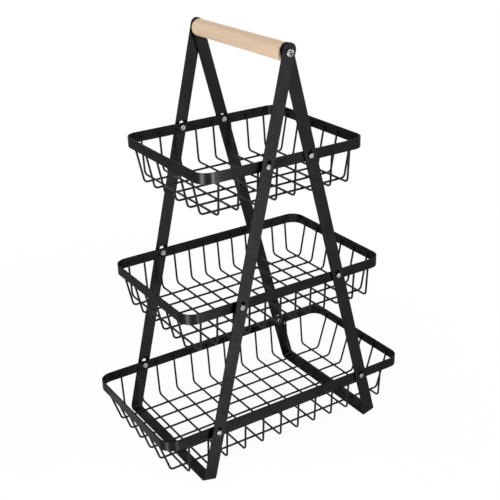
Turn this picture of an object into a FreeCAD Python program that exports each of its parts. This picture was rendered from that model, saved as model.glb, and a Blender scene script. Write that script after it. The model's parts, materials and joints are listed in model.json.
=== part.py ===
"""Three wire baskets hung in keyholes between two bent strap leg frames, under a round wooden grip.

Millimetres, +Z up. X runs along the long side of the baskets and Y along the grip. The origin is on the
floor, below the middle of the stand.
"""
import FreeCAD
import Part
import math
import os

from FreeCAD import Vector

# Baskets, all as wide as the room between the leg frames
basket_width = 209.0
top_rim_length = 250.0
middle_rim_length = 314.0
bottom_rim_length = 396.0
rim_height = 14.0
rim_thickness = 2.0
rim_corner_radius = 19.0

# Floor of each basket below the middle of its rim
top_floor_depth = 53.5
middle_floor_depth = 51.5
bottom_floor_depth = 55.0

# Wires of the baskets: long wires run below, cross wires lie on them
wire_diameter = 2.9
wire_bend_radius = 6.0
weld_room = 0.6  # between a wire and the tail of a stud beside it
long_wire_count = 6
long_wire_margin = 30.0  # from the side of the rim to the first long wire
side_inset = 7.0  # of a cross wire at the floor, from the side of the rim
top_cross_wire_count = 8
middle_cross_wire_count = 12
bottom_cross_wire_count = 12
top_cross_wire_margin = 25.5  # from the end of the rim to the first cross wire
middle_cross_wire_margin = 22.5
bottom_cross_wire_margin = 35.5
top_end_inset = 13.0  # of a long wire at the floor, from the end of the rim
middle_end_inset = 12.8
bottom_end_inset = 19.5

# Places of the baskets and the grip, counted up from the floor
bottom_clearance = 9.0  # between the foot bars and the bottom basket
lower_tier_spacing = 173.0  # rim to rim
upper_tier_spacing = 179.0
handle_rise = 134.8  # grip axis above the middle of the top rim

# Leg frames: one strap bent twice into a U
lean_angle = 14.0  # of the legs from upright, in degrees
strap_width = 18.0
strap_thickness = 2.0
strap_bend_radius = 4.0  # on the inside of the bend
strap_head_rise = 12.4  # from the handle screw to the end of the strap
strap_gap = 1.6  # between the two frames at the handle
basket_play = 0.4  # between the rims and the inner leg frame

# Studs riveted to the rims, and the keyholes that they hang in
stud_neck_diameter = 3.6
stud_head_diameter = 6.8
stud_head_height = 1.9
stud_collar_diameter = 7.0
stud_tail_diameter = 7.8
stud_tail_height = 1.5
stud_hollow_diameter = 4.2  # of the dished end of the tail, at its mouth
stud_hollow_depth = 1.3
stud_play = 0.4  # between the head or collar and the strap
keyhole_seat_clearance = 0.3
keyhole_entry_clearance = 0.15
keyhole_rise = 5.0

# Grip and its screws
grip_diameter = 23.0
grip_edge_radius = 1.6
screw_shank_diameter = 5.0
screw_head_diameter = 10.0
screw_head_height = 3.2
screw_depth_in_grip = 24.0
screw_hole_clearance = 0.3
recess_length = 6.6
recess_width = 1.8
recess_depth = 2.2
washer_diameter = 13.0
grip_washer_thickness = 1.6
handle_play = 0.3  # between the turning handle and the straps

# Rounding of a screw head, stud head or stud tail, as a share of its height
head_edge_share = 0.65

# Floor of the hollow in a stud's tail, as a share of its mouth
hollow_floor_share = 0.5

# Rounding of the ends of the straps, as a share of half their width
strap_end_share = 0.96

# How far a cutting tool passes the face that it cuts
cut_overrun = 5.0

wire_radius = wire_diameter / 2
lean = math.radians(lean_angle)
along_x = Vector(1, 0, 0)
along_y = Vector(0, 1, 0)
along_z = Vector(0, 0, 1)

# Heights of the rims and the grip axis above the floor
foot_bar_top = strap_width * math.sin(lean) + strap_thickness * math.cos(lean)
bottom_rim_middle = foot_bar_top + bottom_clearance + wire_diameter + bottom_floor_depth
middle_rim_middle = bottom_rim_middle + lower_tier_spacing
top_rim_middle = middle_rim_middle + upper_tier_spacing
pivot_height = top_rim_middle + handle_rise
rim_middles = (top_rim_middle, middle_rim_middle, bottom_rim_middle)

# Faces of the straps, counted out from the middle of the stand
inner_frame_inside = basket_width / 2 + basket_play
inner_frame_outside = inner_frame_inside + strap_thickness
outer_frame_inside = inner_frame_outside + strap_gap
outer_frame_outside = outer_frame_inside + strap_thickness

# The lowest edge of a tilted foot bar just reaches the floor
leg_length = (pivot_height - strap_width / 2 * math.sin(lean)) / math.cos(lean)


def stud_place(rim_middle):
    """Distance of a rim's studs from the middle of the stand, on the axis of the leaning legs."""
    return (pivot_height - rim_middle) * math.tan(lean)


def edges_along(shape, direction):
    """Straight edges of a shape that run along a direction."""
    found = []
    for edge in shape.Edges:
        run = edge.Vertexes[-1].Point - edge.Vertexes[0].Point
        if run.Length > 0 and run.cross(direction).Length < 1e-6 * run.Length:
            found.append(edge)
    return found


def centred_box(length, width, bottom, top):
    """Box centred on the Z axis between two heights."""
    corner = Vector(-length / 2, -width / 2, bottom)
    return Part.makeBox(length, width, top - bottom, corner)


def round_bar(diameter, start, end):
    """Straight round bar between two points."""
    return Part.makeCylinder(diameter / 2, (end - start).Length, start, end - start)


def round_head(diameter, foot, top):
    """Flat-footed round head whose top edge is rounded over."""
    head = round_bar(diameter, foot, top)
    height = (top - foot).Length
    top_edges = [edge for edge in head.Edges if (edge.CenterOfMass - top).Length < height / 4]
    return head.makeFillet(height * head_edge_share, top_edges)


def bent_wire(points, bend_radius, diameter):
    """Round wire through straight runs, with an arc at each point between them."""
    edges = []
    run_start = points[0]
    for before, corner, after in zip(points, points[1:], points[2:]):
        way_in = (corner - before).normalize()
        way_out = (after - corner).normalize()
        half_turn = way_in.getAngle(way_out) / 2
        reach = bend_radius * math.tan(half_turn)
        arc_start = corner - way_in * reach
        arc_end = corner + way_out * reach
        inward = (way_out - way_in).normalize()
        arc_middle = corner + inward * (bend_radius / math.cos(half_turn) - bend_radius)
        edges.append(Part.LineSegment(run_start, arc_start).toShape())
        edges.append(Part.Arc(arc_start, arc_middle, arc_end).toShape())
        run_start = arc_end
    edges.append(Part.LineSegment(run_start, points[-1]).toShape())
    section = Part.Circle(points[0], points[1] - points[0], diameter / 2).toShape()
    return Part.Wire(edges).makePipeShell([Part.Wire(section)], True, True)


def even_places(count, first, last):
    """Evenly spaced places from first to last."""
    return [first + (last - first) * index / (count - 1) for index in range(count)]


def keyhole(distance):
    """Pear-shaped cutter through both legs of a frame, its seat at a distance down the leg."""
    reach = outer_frame_outside + cut_overrun
    seat_radius = stud_neck_diameter / 2 + keyhole_seat_clearance
    entry_radius = stud_head_diameter / 2 + keyhole_entry_clearance
    seat = Vector(0, -reach, -distance)
    entry = seat + along_z * keyhole_rise
    slope = math.asin((entry_radius - seat_radius) / keyhole_rise)
    corners = []
    for centre, radius, side in ((seat, seat_radius, 1), (entry, entry_radius, 1),
                                 (entry, entry_radius, -1), (seat, seat_radius, -1)):
        corners.append(centre + Vector(side * radius * math.cos(slope), 0, -radius * math.sin(slope)))
    span = along_y * 2 * reach
    sides = Part.Face(Part.makePolygon(corners + corners[:1])).extrude(span)
    return sides.fuse([round_bar(2 * seat_radius, seat, seat + span),
                       round_bar(2 * entry_radius, entry, entry + span)])


def leg_frame(inside, outside, tilt):
    """Front leg, foot bar and back leg of one strap, with round ends, keyholes and screw holes."""
    strap = centred_box(strap_width, 2 * outside, -leg_length, strap_head_rise)
    feet = [edge for edge in edges_along(strap, along_x) if edge.CenterOfMass.z < 0]
    strap = strap.makeFillet(strap_bend_radius + strap_thickness, feet)
    room = centred_box(strap_width + 2 * cut_overrun, 2 * inside, strap_thickness - leg_length,
                       strap_head_rise + cut_overrun)
    corners = [edge for edge in edges_along(room, along_x) if edge.CenterOfMass.z < 0]
    strap = strap.cut(room.makeFillet(strap_bend_radius, corners))
    ends = [edge for edge in edges_along(strap, along_y) if edge.CenterOfMass.z > 0]
    strap = strap.makeFillet(strap_end_share * strap_width / 2, ends)
    for rim_middle in rim_middles:
        strap = strap.cut(keyhole((pivot_height - rim_middle) / math.cos(lean)))
    hole_reach = along_y * (outside + cut_overrun)
    strap = strap.cut(round_bar(screw_shank_diameter + 2 * screw_hole_clearance, hole_reach * -1, hole_reach))
    strap.Placement = FreeCAD.Placement(along_z * pivot_height, FreeCAD.Rotation(along_y, tilt))
    return strap


def stud(place, rim_middle, side, strap_inside):
    """Rivet with a domed head outside the strap and a dished tail inside the rim."""
    def point(reach):
        return Vector(place, side * reach, rim_middle)

    rim_outside = basket_width / 2
    rim_inside = rim_outside - rim_thickness
    head_foot = strap_inside + strap_thickness + stud_play
    pieces = [round_head(stud_head_diameter, point(head_foot), point(head_foot + stud_head_height)),
              round_head(stud_tail_diameter, point(rim_inside), point(rim_inside - stud_tail_height))]
    if strap_inside > inner_frame_inside:
        pieces.append(round_bar(stud_collar_diameter, point(rim_outside), point(strap_inside - stud_play)))
    mouth_radius = stud_hollow_diameter / 2
    hollow = Part.makeCone(mouth_radius, mouth_radius * hollow_floor_share, stud_hollow_depth,
                           point(rim_inside - stud_tail_height), along_y * side)
    return round_bar(stud_neck_diameter, point(rim_inside), point(head_foot)).fuse(pieces).cut(hollow)


def studs(rim_middle):
    """Four studs of a rim: long ones for the outer frame at -X, short ones for the inner frame at +X."""
    place = stud_place(rim_middle)
    pieces = []
    for side in (-1, 1):
        pieces.append(stud(-place, rim_middle, side, outer_frame_inside))
        pieces.append(stud(place, rim_middle, side, inner_frame_inside))
    return Part.makeCompound(pieces)


def rim(length, rim_middle):
    """Flat band bent into a rectangle with round corners, with holes for its studs."""
    bottom = rim_middle - rim_height / 2
    band = centred_box(length, basket_width, bottom, bottom + rim_height)
    band = band.makeFillet(rim_corner_radius, edges_along(band, along_z))
    room = centred_box(length - 2 * rim_thickness, basket_width - 2 * rim_thickness, bottom - cut_overrun,
                       bottom + rim_height + cut_overrun)
    room = room.makeFillet(rim_corner_radius - rim_thickness, edges_along(room, along_z))
    band = band.cut(room)
    hole_reach = along_y * (basket_width / 2 + cut_overrun)
    for place in (-stud_place(rim_middle), stud_place(rim_middle)):
        middle = Vector(place, 0, rim_middle)
        band = band.cut(round_bar(stud_neck_diameter, middle - hole_reach, middle + hole_reach))
    return band


def basket_wire(rim_reach, inset, rim_middle, floor, place_across, direction):
    """U-bent wire: welded down the inside of the rim, leaning in to the floor and up the other side."""
    across = along_y if direction == along_x else along_x
    weld_reach = rim_reach - rim_thickness - wire_radius
    floor_reach = rim_reach - inset
    half = [(weld_reach, rim_middle), (weld_reach, rim_middle - rim_height / 2), (floor_reach, floor)]
    points = []
    for reach, height in half:
        points.append(direction * -reach + across * place_across + along_z * height)
    for reach, height in reversed(half):
        points.append(direction * reach + across * place_across + along_z * height)
    return bent_wire(points, wire_bend_radius, wire_diameter)


def clear_of_studs(place, rim_middle):
    """Place of a cross wire, moved aside where it would meet the tail of a stud."""
    room = stud_tail_diameter / 2 + wire_radius + weld_room
    for stud_middle in (-stud_place(rim_middle), stud_place(rim_middle)):
        if abs(place - stud_middle) < room:
            place = stud_middle + math.copysign(room, place - stud_middle)
    return place


def basket(name, length, rim_middle, floor_depth, cross_count, cross_margin, end_inset):
    """Named pieces of one basket."""
    contact = rim_middle - floor_depth
    side_reach = basket_width / 2
    end_reach = length / 2
    pieces = {name + "_rim": rim(length, rim_middle), name + "_studs": studs(rim_middle)}
    long_places = even_places(long_wire_count, long_wire_margin - side_reach, side_reach - long_wire_margin)
    for number, place in enumerate(long_places, 1):
        pieces[f"{name}_long_wire_{number}"] = basket_wire(
            end_reach, end_inset, rim_middle, contact - wire_radius, place, along_x)
    cross_places = even_places(cross_count, cross_margin - end_reach, end_reach - cross_margin)
    for number, place in enumerate(cross_places, 1):
        pieces[f"{name}_cross_wire_{number}"] = basket_wire(
            side_reach, side_inset, rim_middle, contact + wire_radius, clear_of_studs(place, rim_middle), along_y)
    return pieces


def wood_grip():
    """Dowel between the leg frames, with eased ends and a pilot hole in each."""
    reach = inner_frame_inside - handle_play - grip_washer_thickness
    axis = along_z * pivot_height
    dowel = round_bar(grip_diameter, axis - along_y * reach, axis + along_y * reach)
    ends = [edge for edge in dowel.Edges if edge.Curve.TypeId == "Part::GeomCircle"]
    dowel = dowel.makeFillet(grip_edge_radius, ends)
    for side in (-1, 1):
        mouth = axis + along_y * side * (reach + cut_overrun)
        bottom = axis + along_y * side * (reach - screw_depth_in_grip)
        dowel = dowel.cut(round_bar(screw_shank_diameter, mouth, bottom))
    return dowel


def handle_screw(side):
    """Pan head screw with a cross recess, from outside the straps into the grip."""
    axis = along_z * pivot_height
    head_foot = outer_frame_outside + handle_play
    head_top = head_foot + screw_head_height
    grip_end = inner_frame_inside - handle_play - grip_washer_thickness
    tip = axis + along_y * side * (grip_end - screw_depth_in_grip)
    neck = axis + along_y * side * head_foot
    head = round_head(screw_head_diameter, neck, axis + along_y * side * head_top)
    slot = centred_box(recess_length, recess_width, head_top - recess_depth, head_top + cut_overrun)
    turn = FreeCAD.Rotation(along_z, along_y * side)
    slot.Placement = FreeCAD.Placement(axis, turn)
    cross_slot = slot.copy()
    cross_slot.Placement = FreeCAD.Placement(axis, turn * FreeCAD.Rotation(along_z, 90))
    return head.fuse(round_bar(screw_shank_diameter, tip, neck)).cut([slot, cross_slot])


def washer(side, start, thickness):
    """Ring round a handle screw, with its near face at a distance from the middle of the stand."""
    axis = along_z * pivot_height
    near = axis + along_y * side * start
    far = near + along_y * side * thickness
    bore = screw_shank_diameter + 2 * screw_hole_clearance
    return round_bar(washer_diameter, near, far).cut(round_bar(bore, near, far))


def handle_fasteners():
    """Both screws, a washer between the straps and one against each end of the grip."""
    pieces = []
    for side in (-1, 1):
        pieces.append(handle_screw(side))
        pieces.append(washer(side, inner_frame_outside + handle_play, strap_gap - 2 * handle_play))
        pieces.append(washer(side, inner_frame_inside - handle_play - grip_washer_thickness,
                             grip_washer_thickness))
    return Part.makeCompound(pieces)


def all_pieces():
    """Every piece of the stand by name."""
    pieces = {
        "outer_leg_frame": leg_frame(outer_frame_inside, outer_frame_outside, lean_angle),
        "inner_leg_frame": leg_frame(inner_frame_inside, inner_frame_outside, -lean_angle),
        "wood_grip": wood_grip(),
        "handle_fasteners": handle_fasteners(),
    }
    pieces.update(basket("top", top_rim_length, top_rim_middle, top_floor_depth,
                         top_cross_wire_count, top_cross_wire_margin, top_end_inset))
    pieces.update(basket("middle", middle_rim_length, middle_rim_middle, middle_floor_depth,
                         middle_cross_wire_count, middle_cross_wire_margin, middle_end_inset))
    pieces.update(basket("bottom", bottom_rim_length, bottom_rim_middle, bottom_floor_depth,
                         bottom_cross_wire_count, bottom_cross_wire_margin, bottom_end_inset))
    return pieces


os.makedirs("parts", exist_ok=True)
for node, shape in all_pieces().items():
    shape.exportStep(f"parts/{node}.step")
    print(node, len(shape.Solids), shape.isValid(), round(shape.Volume, 1))
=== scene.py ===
"""Looks of the tiered basket stand: finishes, weld beads, studio light and the photograph's camera.

Metres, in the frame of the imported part: +Z up, X along the baskets, Y along the grip.
"""
import bmesh
import bpy
import json
import math

from mathutils import Matrix, Vector


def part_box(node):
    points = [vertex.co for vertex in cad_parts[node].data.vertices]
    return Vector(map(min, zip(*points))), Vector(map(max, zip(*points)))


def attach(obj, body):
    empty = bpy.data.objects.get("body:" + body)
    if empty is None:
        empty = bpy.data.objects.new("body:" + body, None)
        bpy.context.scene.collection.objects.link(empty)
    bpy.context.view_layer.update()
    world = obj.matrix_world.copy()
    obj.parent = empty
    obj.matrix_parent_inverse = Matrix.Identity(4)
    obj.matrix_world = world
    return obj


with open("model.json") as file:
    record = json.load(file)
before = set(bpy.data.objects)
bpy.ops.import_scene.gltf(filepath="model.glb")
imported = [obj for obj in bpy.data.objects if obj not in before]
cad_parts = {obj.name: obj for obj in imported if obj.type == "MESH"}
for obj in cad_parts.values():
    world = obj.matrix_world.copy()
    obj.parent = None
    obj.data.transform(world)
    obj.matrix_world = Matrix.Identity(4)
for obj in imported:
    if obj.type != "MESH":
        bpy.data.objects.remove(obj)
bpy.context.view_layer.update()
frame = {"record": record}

tiers = ("top", "middle", "bottom")
bodies = frame["record"]["behaviour"]["bodies"]
white = (1.0, 1.0, 1.0)

# Camera, from a fit of the stand's studs, rims and feet to the photograph
camera_azimuth = -32.12  # degrees, 0 looks along +Y
camera_elevation = 23.89
camera_roll = -1.88
camera_distance = 1.3241
camera_aim = Vector((0.0013, -0.0068, 0.2685))
camera_lens = 68.68  # millimetres
camera_sensor = 36.0

# Edges of bent strap and cut band, rounded by the coat of powder
strap_edge_radius = 0.00045
strap_edge_segments = 2
flat_face_weight = 100
weld_distance = 0.00001
flat_angle = 0.5  # degrees
sharp_edge_angle = 35.0

# Weld beads: half sizes of the squeezed-out metal
crossing_bead = Vector((0.0019, 0.0019, 0.0007))
rim_bead_depth = 0.0009
rim_bead_width = 0.0019
rim_bead_length = 0.0032
bead_rings = 7
bead_segments = 12

# The middle of a noise, where most of its values lie
noise_low = 0.3
noise_high = 0.7

# Black stoved powder: its darkest and lightest colour, then its lowest and highest roughness
outer_frame_coat = ((0.024, 0.024, 0.0247), (0.0307, 0.0307, 0.0315), 0.38, 0.46)
# The inner frame's coat is the outer frame's powder painted darker, as painted shade for straps that catch
# less light
inner_frame_shaded_coat = ((0.018, 0.018, 0.0186), (0.024, 0.024, 0.0247), 0.38, 0.46)
rim_coat = ((0.018, 0.018, 0.0186), (0.0235, 0.0235, 0.0242), 0.24, 0.30)
wire_coat = ((0.0036, 0.0036, 0.0038), (0.006, 0.006, 0.0062), 0.34, 0.44)
wire_gloss = 0.12
coat_slant_tint = (0.55, 0.55, 0.55, 1.0)
coat_drift = {"size": 0.03, "detail": 3.0}
coat_peel = {"size": 0.0011, "detail": 2.0}
coat_peel_bump = {"strength": 0.25, "depth": 0.0002}
coat_grain_stops = ((0.32, (0.66, 0.66, 0.66)), (0.68, white))

# Zinc plate of the studs, screws and washers
zinc_blotch = {"size": 0.002, "detail": 4.0}
zinc_blotch_bump = {"strength": 0.35, "depth": 0.0001}
zinc_stops = ((0.35, (0.19, 0.19, 0.195)), (0.62, (0.47, 0.47, 0.475)))
zinc_roughness = (0.20, 0.32)  # where the blotches are dark, then where they are light

# Wood of the grip
wood_ring_width = 0.0034
wood_heart_offset = Vector((0.021, 0.0, -0.034))  # from the grip's axis to the heart of the tree
wood_wobble = {"size": 0.012, "detail": 2.0}
wood_wobble_reach = 0.004
wood_fibre = {"size": 0.0012, "detail": 3.0}
wood_fleck = {"size": 0.0008, "detail": 1.0}
wood_fleck_bump = {"strength": 0.15, "depth": 0.0001}
grain_share = 0.045  # a mark's width across the grain over its length along it
fleck_share = 0.13
wood_ring_stops = ((0.0, (0.722, 0.534, 0.369)),
                   (0.7, (0.702, 0.513, 0.351)),
                   (1.0, (0.672, 0.481, 0.320)))
wood_fibre_stops = ((noise_low, (0.94, 0.93, 0.91)), (noise_high, white))
wood_fleck_stops = ((0.30, (0.85, 0.79, 0.72)), (0.38, white))
wood_roughness = (0.52, 0.42)  # in the dark fibres, then in the light ones
wood_gloss = 0.35
wave_rate = 20.0  # phase of a wave texture, in radians, over a unit of length at a scale of 1

# Floor and surroundings
floor_size = 12.0
floor_white = (0.94, 0.94, 0.94)
floor_glow_share = 0.94  # of the floor's white near the stand, which no shadow darkens
floor_shadow_reach = 0.35  # from the middle of the stand, where the shadow starts to fade
floor_plain_reach = 1.0
world_strength = 0.36

# Soft boxes: name, place, point that they face, width, height and power in watts
soft_boxes = (
    # Sheen of the straps
    ("left_strip", (-0.97, -0.39, 0.23), (0.0, 0.0, 0.3), 0.30, 0.45, 4.0),
    ("front_strip", (0.13, -1.03, 0.23), (0.0, 0.0, 0.3), 0.26, 0.45, 3.6),
    # Streaks on the front left corners of the middle, top and bottom rims
    ("left_low", (-0.42, -0.24, 0.08), (-0.15, -0.10, 0.24), 0.14, 0.14, 0.52),
    ("front_low", (-0.06, -0.38, 0.08), (-0.14, -0.10, 0.24), 0.10, 0.14, 0.20),
    ("left_top_card", (-0.207, -0.148, 0.390), (-0.119, -0.099, 0.425), 0.040, 0.050, 0.043),
    ("front_top_card", (-0.076, -0.199, 0.390), (-0.107, -0.104, 0.425), 0.034, 0.050, 0.053),
    ("left_corner_card", (-0.258, -0.123, 0.024), (-0.192, -0.099, 0.073), 0.030, 0.040, 0.025),
    ("front_corner_card", (-0.167, -0.173, 0.024), (-0.181, -0.104, 0.073), 0.026, 0.040, 0.015),
    # Grey sheen along the bottom rim
    ("left_rim_card", (-0.235, 0.045, 0.013), (-0.183, 0.045, 0.098), 0.220, 0.040, 0.020),
    ("front_rim_card", (-0.030, -0.160, 0.013), (-0.030, -0.108, 0.098), 0.240, 0.040, 0.014),
    # Even light from above and on the far sides
    ("overhead", (-0.2, -0.5, 2.4), (0.0, 0.0, 0.25), 1.6, 1.6, 16.5),
    ("right_fill", (1.5, 0.1, 0.75), (0.0, 0.0, 0.4), 1.0, 1.0, 11.0),
    ("back_fill", (-1.0, 1.7, 1.3), (0.0, 0.0, 0.3), 1.0, 1.0, 9.0),
)


def add_node(tree, kind, inputs=(), **settings):
    """Node of a kind, with its settings, and a value or another node's output for each named input."""
    made = tree.nodes.new(kind)
    for key, value in settings.items():
        setattr(made, key, value)
    for key, value in dict(inputs).items():
        if isinstance(value, bpy.types.NodeSocket):
            tree.links.new(value, made.inputs[key])
        else:
            made.inputs[key].default_value = value
    return made


def noise(tree, place, size, detail, stretch=(1.0, 1.0, 1.0)):
    """Noise with marks of a size, drawn out along an axis by a small share there."""
    mapping = add_node(tree, "ShaderNodeMapping", {"Vector": place, "Scale": stretch})
    texture = add_node(tree, "ShaderNodeTexNoise",
                       {"Vector": mapping.outputs["Vector"], "Scale": 1.0 / size, "Detail": detail})
    return texture.outputs["Fac"]


def colours(tree, factor, stops):
    """Colour ramp through pairs of a place and a colour."""
    ramp = add_node(tree, "ShaderNodeValToRGB", {"Fac": factor})
    elements = ramp.color_ramp.elements
    while len(elements) < len(stops):
        elements.new(1.0)
    for element, (place, colour) in zip(elements, stops):
        element.position = place
        element.color = (*colour, 1.0)
    return ramp.outputs["Color"]


def spread(tree, factor, low, high):
    """The middle of a noise, spread over a range."""
    made = add_node(tree, "ShaderNodeMapRange",
                    {"Value": factor, "From Min": noise_low, "From Max": noise_high,
                     "To Min": low, "To Max": high})
    return made.outputs["Result"]


def combined(tree, operation, first, second):
    """Sum, difference or product of two colours or places."""
    made = add_node(tree, "ShaderNodeVectorMath", {0: first, 1: second}, operation=operation)
    return made.outputs["Vector"]


def bumped(tree, height, strength, depth):
    """Normals of a surface with a height drawn on it."""
    made = add_node(tree, "ShaderNodeBump", {"Strength": strength, "Distance": depth, "Height": height})
    return made.outputs["Normal"]


def start_material(name):
    """New material: itself, its tree, its shader, and the object's own coordinates."""
    material = bpy.data.materials.new(name)
    material.use_nodes = True
    tree = material.node_tree
    place = add_node(tree, "ShaderNodeTexCoord").outputs["Object"]
    return material, tree, tree.nodes["Principled BSDF"], place


def connect(tree, shader, colour, roughness, normal):
    """Links a surface's colour, roughness and normals to its shader."""
    tree.links.new(colour, shader.inputs["Base Color"])
    tree.links.new(roughness, shader.inputs["Roughness"])
    tree.links.new(normal, shader.inputs["Normal"])


def coat_surface(tree, shader, place, dark, light, smooth, rough):
    """Black stoved powder: a fine orange peel and grain, with slight drifts of colour and sheen."""
    drift = noise(tree, place, **coat_drift)
    peel = noise(tree, place, **coat_peel)
    drift_colour = colours(tree, drift, ((noise_low, dark), (noise_high, light)))
    colour = combined(tree, "MULTIPLY", drift_colour, colours(tree, peel, coat_grain_stops))
    connect(tree, shader, colour, spread(tree, drift, smooth, rough),
            bumped(tree, peel, **coat_peel_bump))


def coated_wire(name, coat):
    """Black powder on thin wire."""
    material, tree, shader, place = start_material(name)
    shader.inputs["Specular IOR Level"].default_value = wire_gloss
    coat_surface(tree, shader, place, *coat)
    return material


def coated_strap(name, coat):
    """Black powder on strap or band, set up as a dim mirror that stays dim at a slant."""
    material, tree, shader, place = start_material(name)
    shader.inputs["Metallic"].default_value = 1.0
    shader.inputs["Specular Tint"].default_value = coat_slant_tint
    coat_surface(tree, shader, place, *coat)
    return material


def zinc_plate(name):
    """Plated steel with the cloudy sheen of a passivated zinc coat."""
    material, tree, shader, place = start_material(name)
    shader.inputs["Metallic"].default_value = 1.0
    blotch = noise(tree, place, **zinc_blotch)
    connect(tree, shader, colours(tree, blotch, zinc_stops), spread(tree, blotch, *zinc_roughness),
            bumped(tree, blotch, **zinc_blotch_bump))
    return material


def pale_wood(name):
    """Clear-lacquered pale wood: rings about the tree's heart, long fibres and short dark flecks."""
    material, tree, shader, place = start_material(name)
    shader.inputs["Specular IOR Level"].default_value = wood_gloss
    low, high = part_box("wood_grip")
    heart = (low + high) / 2 + wood_heart_offset
    along_grain = (1.0, grain_share, 1.0)
    along_fleck = (1.0, fleck_share, 1.0)
    wobble = noise(tree, place, **wood_wobble, stretch=along_grain)
    sway = add_node(tree, "ShaderNodeVectorMath",
                    {0: (wood_wobble_reach, 0.0, wood_wobble_reach), "Scale": wobble}, operation="SCALE")
    shift = combined(tree, "SUBTRACT", sway.outputs["Vector"], heart)
    ring_scale = math.tau / wave_rate / wood_ring_width
    rings = add_node(tree, "ShaderNodeTexWave",
                     {"Vector": combined(tree, "ADD", place, shift), "Scale": ring_scale, "Distortion": 0.0},
                     wave_type="RINGS", rings_direction="Y", wave_profile="SAW")
    ring_colour = colours(tree, rings.outputs["Fac"], wood_ring_stops)
    fibre = noise(tree, place, **wood_fibre, stretch=along_grain)
    fibre_colour = colours(tree, fibre, wood_fibre_stops)
    fleck = noise(tree, place, **wood_fleck, stretch=along_fleck)
    fleck_colour = colours(tree, fleck, wood_fleck_stops)
    grain_colour = combined(tree, "MULTIPLY", ring_colour, fibre_colour)
    connect(tree, shader, combined(tree, "MULTIPLY", grain_colour, fleck_colour),
            spread(tree, fibre, *wood_roughness), bumped(tree, fleck, **wood_fleck_bump))
    return material


def seen_white(tree):
    """1 for rays from the camera, from a mirror and through glass, otherwise 0."""
    path = add_node(tree, "ShaderNodeLightPath")
    seen = path.outputs["Is Camera Ray"]
    for ray in ("Is Glossy Ray", "Is Transmission Ray"):
        either = add_node(tree, "ShaderNodeMath", {0: seen, 1: path.outputs[ray]}, operation="MAXIMUM")
        seen = either.outputs["Value"]
    return seen


def studio_floor():
    """White floor, bright to the camera and still dimmed a little by the stand's shadow."""
    mesh = bpy.data.meshes.new("floor")
    half = floor_size / 2
    corners = [(-half, -half, 0.0), (half, -half, 0.0), (half, half, 0.0), (-half, half, 0.0)]
    mesh.from_pydata(corners, [], [(0, 1, 2, 3)])
    floor = bpy.data.objects.new("floor", mesh)
    bpy.context.scene.collection.objects.link(floor)
    material = bpy.data.materials.new("white_floor")
    material.use_nodes = True
    tree = material.node_tree
    tree.nodes.clear()
    diffuse = add_node(tree, "ShaderNodeBsdfDiffuse", {"Color": (*floor_white, 1.0)})
    glow = add_node(tree, "ShaderNodeEmission", {"Color": (*white, 1.0), "Strength": 1.0})
    place = add_node(tree, "ShaderNodeTexCoord").outputs["Object"]
    reach = add_node(tree, "ShaderNodeVectorMath", {0: place}, operation="LENGTH")
    plain = add_node(tree, "ShaderNodeMapRange",
                     {"Value": reach.outputs["Value"],
                      "From Min": floor_shadow_reach, "From Max": floor_plain_reach,
                      "To Min": floor_glow_share, "To Max": 1.0})
    share = add_node(tree, "ShaderNodeMath", {0: seen_white(tree), 1: plain.outputs["Result"]},
                     operation="MULTIPLY")
    mix = add_node(tree, "ShaderNodeMixShader",
                   {0: share.outputs["Value"], 1: diffuse.outputs["BSDF"], 2: glow.outputs["Emission"]})
    add_node(tree, "ShaderNodeOutputMaterial", {"Surface": mix.outputs["Shader"]})
    mesh.materials.append(material)


def studio_world():
    """White all round for the camera and mirrors, and a lower even light for everything else."""
    world = bpy.data.worlds.new("studio")
    bpy.context.scene.world = world
    world.use_nodes = True
    tree = world.node_tree
    strength = add_node(tree, "ShaderNodeMapRange",
                        {"Value": seen_white(tree), "To Min": world_strength, "To Max": 1.0})
    background = tree.nodes["Background"]
    background.inputs["Color"].default_value = (*white, 1.0)
    tree.links.new(strength.outputs["Result"], background.inputs["Strength"])


def soft_box(name, place, aim, width, height, power):
    """Rectangular studio lamp at a place, facing a point, that stays out of every picture."""
    data = bpy.data.lights.new(name, "AREA")
    data.shape = "RECTANGLE"
    data.size = width
    data.size_y = height
    data.energy = power
    lamp = bpy.data.objects.new(name, data)
    lamp.visible_camera = False
    lamp.location = place
    lamp.rotation_euler = (Vector(aim) - Vector(place)).to_track_quat("-Z", "Y").to_euler()
    bpy.context.scene.collection.objects.link(lamp)


def photo_camera():
    """Camera at the photograph's angle, turned about the vertical, then tilted, then rolled."""
    data = bpy.data.cameras.new("photo_camera")
    data.sensor_width = camera_sensor
    data.lens = camera_lens
    turn = (Matrix.Rotation(math.radians(camera_azimuth), 4, "Z")
            @ Matrix.Rotation(math.radians(90.0 - camera_elevation), 4, "X")
            @ Matrix.Rotation(math.radians(camera_roll), 4, "Z"))
    camera = bpy.data.objects.new("photo_camera", data)
    camera.matrix_world = (Matrix.Translation(camera_aim) @ turn
                           @ Matrix.Translation((0.0, 0.0, camera_distance)))
    bpy.context.scene.collection.objects.link(camera)
    bpy.context.scene.camera = camera


def add_bead(mesh, centre, half_sizes):
    """Smooth lens of weld metal about a contact."""
    stretch = Matrix.Diagonal((*half_sizes, 1.0))
    made = bmesh.ops.create_uvsphere(mesh, u_segments=bead_segments, v_segments=bead_rings, radius=1.0,
                                     matrix=Matrix.Translation(centre) @ stretch)
    for face in {face for vertex in made["verts"] for face in vertex.link_faces}:
        face.smooth = True


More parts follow.
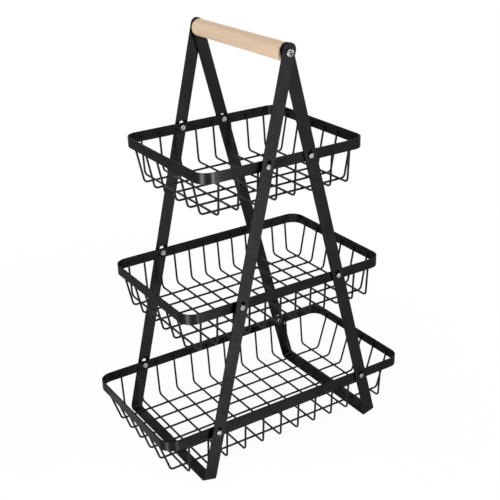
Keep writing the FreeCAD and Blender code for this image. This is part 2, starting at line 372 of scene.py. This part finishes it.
def weld_beads(tier, coat):
    """Beads where a basket's wires cross and where their ends meet the rim."""
    nodes = bodies[f"{tier}_basket"]
    rim_low, rim_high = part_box(f"{tier}_rim")
    bead_height = rim_low.z + rim_bead_length
    long_boxes = [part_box(name) for name in nodes if "_long_wire_" in name]
    cross_boxes = [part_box(name) for name in nodes if "_cross_wire_" in name]
    mesh = bmesh.new()
    for low, high in long_boxes:
        middle = (low + high) / 2
        for x in (low.x, high.x):
            add_bead(mesh, (x, middle.y, bead_height), (rim_bead_depth, rim_bead_width, rim_bead_length))
        wire_diameter = high.y - low.y
        contact = low.z + wire_diameter
        for cross_low, cross_high in cross_boxes:
            add_bead(mesh, ((cross_low.x + cross_high.x) / 2, middle.y, contact), crossing_bead)
    for low, high in cross_boxes:
        middle = (low + high) / 2
        for y in (low.y, high.y):
            add_bead(mesh, (middle.x, y, bead_height), (rim_bead_width, rim_bead_depth, rim_bead_length))
    data = bpy.data.meshes.new(f"{tier}_weld_beads")
    mesh.to_mesh(data)
    mesh.free()
    data.materials.append(coat)
    beads = bpy.data.objects.new(f"{tier}_weld_beads", data)
    bpy.context.scene.collection.objects.link(beads)
    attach(beads, f"{tier}_basket")


def ease_edges(node):
    """Rounds the sharp edges of a strap or band."""
    weld = node.modifiers.new("weld", "WELD")
    weld.merge_threshold = weld_distance
    whole_faces = node.modifiers.new("whole_faces", "DECIMATE")
    whole_faces.decimate_type = "DISSOLVE"
    whole_faces.angle_limit = math.radians(flat_angle)
    bevel = node.modifiers.new("eased_edges", "BEVEL")
    bevel.limit_method = "ANGLE"
    bevel.angle_limit = math.radians(sharp_edge_angle)
    bevel.width = strap_edge_radius
    bevel.segments = strap_edge_segments
    flat_faces = node.modifiers.new("flat_faces", "WEIGHTED_NORMAL")
    flat_faces.weight = flat_face_weight


photo_camera()

rim_finish = coated_strap("stoved_black_gloss", rim_coat)
own_finishes = {f"{tier}_rim": rim_finish for tier in tiers}
# The inner frame gets a darker copy of the same coat: painted shade
own_finishes["inner_leg_frame"] = coated_strap("stoved_black_painted_shade", inner_frame_shaded_coat)
finishes = {
    "black_powder_coat": coated_strap("stoved_black", outer_frame_coat),
    "black_wire": coated_wire("stoved_black_wire", wire_coat),
    "bright_zinc": zinc_plate("bright_zinc_plate"),
    "grip_wood": pale_wood("pale_wood"),
}
for node_names in bodies.values():
    for node_name in node_names:
        node = bpy.data.objects[node_name]
        for slot in node.material_slots:
            slot.material = own_finishes.get(node_name, finishes[slot.material.name])
        if node_name.endswith(("_rim", "_leg_frame")):
            ease_edges(node)
for tier in tiers:
    weld_beads(tier, finishes["black_wire"])

studio_floor()
studio_world()
for box in soft_boxes:
    soft_box(*box)

bpy.context.scene.view_settings.view_transform = "Standard"
